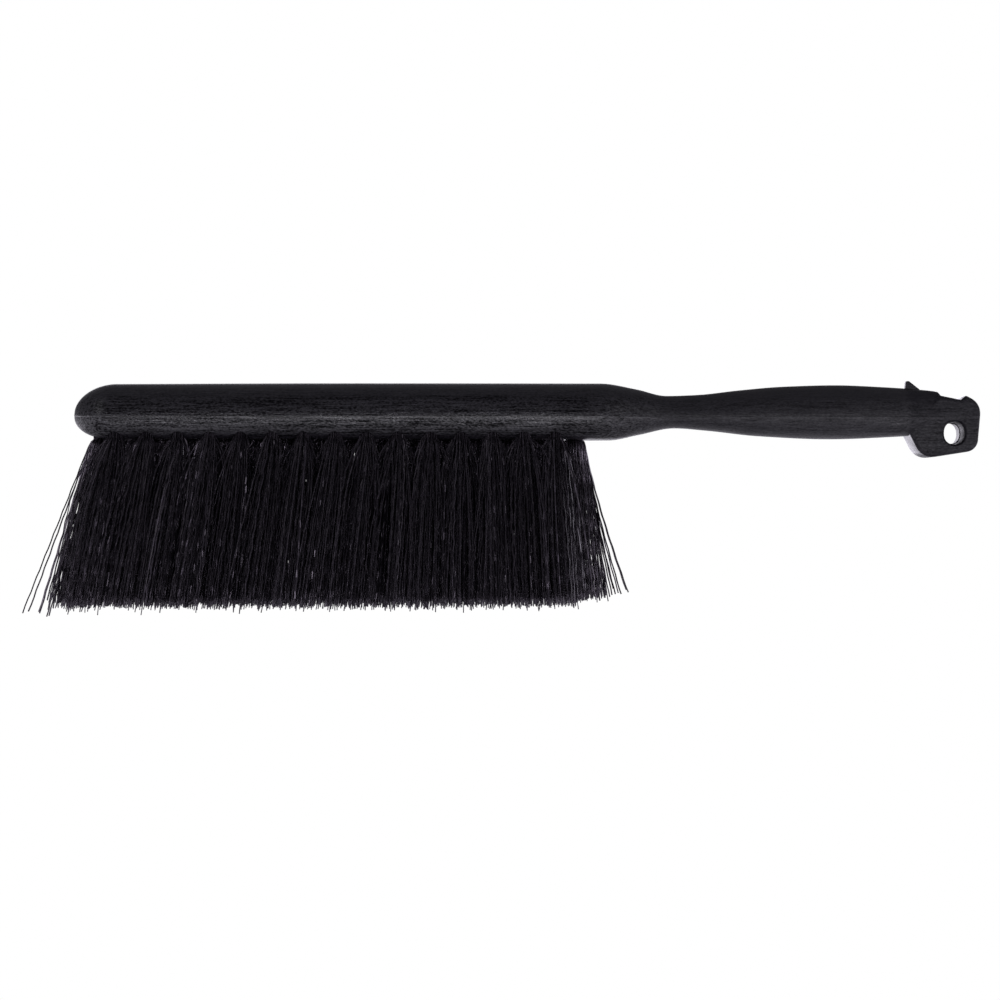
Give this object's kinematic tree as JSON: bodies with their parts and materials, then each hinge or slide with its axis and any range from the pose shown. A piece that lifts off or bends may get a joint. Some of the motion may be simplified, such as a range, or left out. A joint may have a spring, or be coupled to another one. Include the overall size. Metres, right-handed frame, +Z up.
{
  "type": "bee brush",
  "caption": "Hand brush for bees: a long rounded block moulded in one with a waisted handle and a hanging tab, with stapled rows of springy black filament tufts.",
  "frame": {"origin": "on the trimmed tip plane, under the middle of the middle row of tufts", "axes": "+X from the block to the end of the handle, +Z up with the bristles pointing down, +Y to the rear row of tufts"},
  "size_m": [0.3606, 0.0622, 0.0879],
  "materials": {
    "block_plastic": "black structural-foam moulding with a fine lengthwise grain",
    "anchor_wire": "galvanised flat wire",
    "filament": "black crimped polypropylene filament, semi-gloss"
  },
  "bodies": {
    "block": {"handle_block": "block_plastic", "tuft_roots_front": "filament", "tuft_roots_middle": "filament", "tuft_roots_rear": "filament", "anchor_front_01": "anchor_wire", "anchor_front_02": "anchor_wire", "anchor_front_03": "anchor_wire", "anchor_front_04": "anchor_wire", "anchor_front_05": "anchor_wire", "anchor_front_06": "anchor_wire", "anchor_front_07": "anchor_wire", "anchor_front_08": "anchor_wire", "anchor_front_09": "anchor_wire", "anchor_front_10": "anchor_wire", "anchor_front_11": "anchor_wire", "anchor_front_12": "anchor_wire", "anchor_front_13": "anchor_wire", "anchor_front_14": "anchor_wire", "anchor_front_15": "anchor_wire", "anchor_middle_01": "anchor_wire", "anchor_middle_02": "anchor_wire", "anchor_middle_03": "anchor_wire", "anchor_middle_04": "anchor_wire", "anchor_middle_05": "anchor_wire", "anchor_middle_06": "anchor_wire", "anchor_middle_07": "anchor_wire", "anchor_middle_08": "anchor_wire", "anchor_middle_09": "anchor_wire", "anchor_middle_10": "anchor_wire", "anchor_middle_11": "anchor_wire", "anchor_middle_12": "anchor_wire", "anchor_middle_13": "anchor_wire", "anchor_middle_14": "anchor_wire", "anchor_middle_15": "anchor_wire", "anchor_middle_16": "anchor_wire", "anchor_rear_01": "anchor_wire", "anchor_rear_02": "anchor_wire", "anchor_rear_03": "anchor_wire", "anchor_rear_04": "anchor_wire", "anchor_rear_05": "anchor_wire", "anchor_rear_06": "anchor_wire", "anchor_rear_07": "anchor_wire", "anchor_rear_08": "anchor_wire", "anchor_rear_09": "anchor_wire", "anchor_rear_10": "anchor_wire", "anchor_rear_11": "anchor_wire", "anchor_rear_12": "anchor_wire", "anchor_rear_13": "anchor_wire", "anchor_rear_14": "anchor_wire", "anchor_rear_15": "anchor_wire"},
    "front_row": {"bristles_front": "filament"},
    "middle_row": {"bristles_middle": "filament"},
    "rear_row": {"bristles_rear": "filament"}
  },
  "joints": [
    {"name": "middle_row_flex", "type": "hinge", "parent": "block", "child": "middle_row", "pos_m": [0, 0, 0.0553], "axis": [1, 0, 0], "range_deg": [-20, 20], "stiffness_Nm_per_rad": 0.13},
    {"name": "front_row_flex", "type": "hinge", "parent": "block", "child": "front_row", "pos_m": [0, -0.01375, 0.05539], "axis": [1, 0, 0], "range_deg": [-20, 20], "stiffness_Nm_per_rad": 0.13},
    {"name": "rear_row_flex", "type": "hinge", "parent": "block", "child": "rear_row", "pos_m": [0, 0.01375, 0.05539], "axis": [1, 0, 0], "range_deg": [-20, 20], "stiffness_Nm_per_rad": 0.13}
  ],
  "couplings": [
    {"joint": "front_row_flex", "follows": "middle_row_flex", "ratio": 1},
    {"joint": "rear_row_flex", "follows": "middle_row_flex", "ratio": 1}
  ]
}
